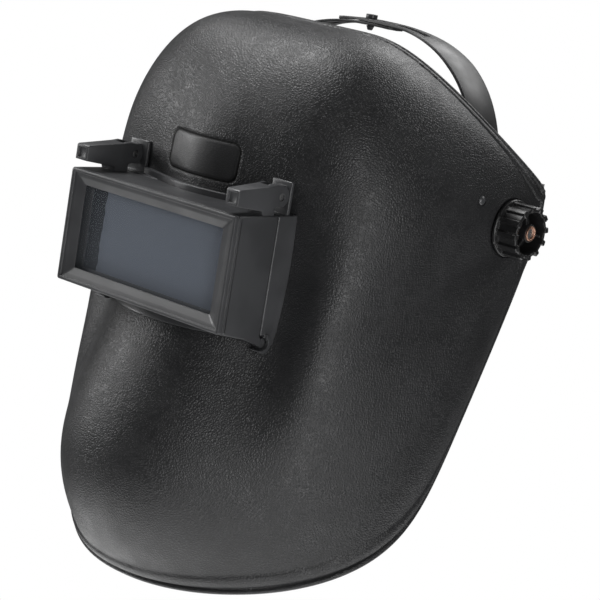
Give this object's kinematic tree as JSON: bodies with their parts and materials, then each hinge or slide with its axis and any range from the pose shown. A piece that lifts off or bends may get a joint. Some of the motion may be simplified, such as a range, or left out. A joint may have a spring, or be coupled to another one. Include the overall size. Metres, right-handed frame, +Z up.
{
  "type": "welding helmet",
  "caption": "Black flip-up welding helmet with a rectangular lens holder, on an adjustable ratchet headgear.",
  "frame": {"origin": "middle of the tilt axis, between the wearer's ears", "axes": "+Z up, -Y the way the wearer looks, +X the wearer's left"},
  "size_m": [0.251, 0.2919, 0.3052],
  "materials": {
    "shell_plastic": "leather-grained, satin",
    "frame_plastic": "smooth, satin",
    "band_plastic": "smooth, satin",
    "gasket_rubber": "matte",
    "clear_plate": "clear polished",
    "filter_glass": "dark polished",
    "spring_steel": "plain",
    "insert_brass": "turned",
    "fibre_washer": "pressed fibre",
    "sweat_fabric": "terry cloth"
  },
  "bodies": {
    "headgear": {"headband": "band_plastic", "sweatband": "sweat_fabric", "crown_strap_left": "band_plastic", "crown_strap_right": "band_plastic", "crown_peg": "frame_plastic", "strap_rivets": "frame_plastic", "pivot_stud_left": "spring_steel", "pivot_stud_right": "spring_steel", "tilt_stop_left": "band_plastic", "tilt_stop_right": "band_plastic", "inner_washer_left": "fibre_washer", "inner_washer_right": "fibre_washer", "ratchet_housing": "frame_plastic", "ratchet_cover": "frame_plastic", "cover_screws": "spring_steel", "rear_pad": "sweat_fabric"},
    "shell": {"shell": "shell_plastic", "window_frame": "shell_plastic", "inner_bezel": "frame_plastic", "plate_gasket": "gasket_rubber", "safety_plate": "clear_plate", "plate_springs": "spring_steel", "stop_pins": "frame_plastic", "outer_washer_left": "spring_steel", "outer_washer_right": "spring_steel"},
    "flip_front": {"flip_frame": "frame_plastic", "hinge_arm_left": "frame_plastic", "hinge_arm_right": "frame_plastic", "hinge_pins": "spring_steel", "latch_pegs": "frame_plastic", "cover_plate": "clear_plate", "lens_gasket": "gasket_rubber", "filter_plate": "filter_glass", "lens_keeper": "frame_plastic", "lens_spring": "spring_steel"},
    "knob_left": {"tension_knob_left": "frame_plastic", "knob_insert_left": "insert_brass"},
    "knob_right": {"tension_knob_right": "frame_plastic", "knob_insert_right": "insert_brass"},
    "rack_left": {"rack_left": "band_plastic"},
    "rack_right": {"rack_right": "band_plastic"},
    "ratchet": {"ratchet_knob": "frame_plastic", "ratchet_pinion": "band_plastic"}
  },
  "joints": [
    {"name": "shell_tilt", "type": "hinge", "parent": "headgear", "child": "shell", "pos_m": [0, 0, 0], "axis": [-1, 0, 0], "range_deg": [0, 75]},
    {"name": "flip_up", "type": "hinge", "parent": "shell", "child": "flip_front", "pos_m": [0, -0.1245, 0.0055], "axis": [-1, 0, 0], "range_deg": [0, 80]},
    {"name": "knob_left_turn", "type": "hinge", "parent": "headgear", "child": "knob_left", "pos_m": [0.118, 0, 0], "axis": [1, 0, 0], "continuous": true},
    {"name": "knob_right_turn", "type": "hinge", "parent": "headgear", "child": "knob_right", "pos_m": [-0.118, 0, 0], "axis": [-1, 0, 0], "continuous": true},
    {"name": "ratchet_turn", "type": "hinge", "parent": "headgear", "child": "ratchet", "pos_m": [0, 0.115, -0.008], "axis": [0, -1, 0], "range_deg": [0, 200]},
    {"name": "rack_left_slide", "type": "hinge", "parent": "headgear", "child": "rack_left", "pos_m": [0, 0.018, -0.008], "axis": [0, 0, 1], "range_deg": [0, 8]},
    {"name": "rack_right_slide", "type": "hinge", "parent": "headgear", "child": "rack_right", "pos_m": [0, 0.018, -0.008], "axis": [0, 0, -1], "range_deg": [0, 8]}
  ],
  "couplings": [
    {"joint": "rack_left_slide", "follows": "ratchet_turn", "ratio": 0.04},
    {"joint": "rack_right_slide", "follows": "ratchet_turn", "ratio": 0.04}
  ]
}
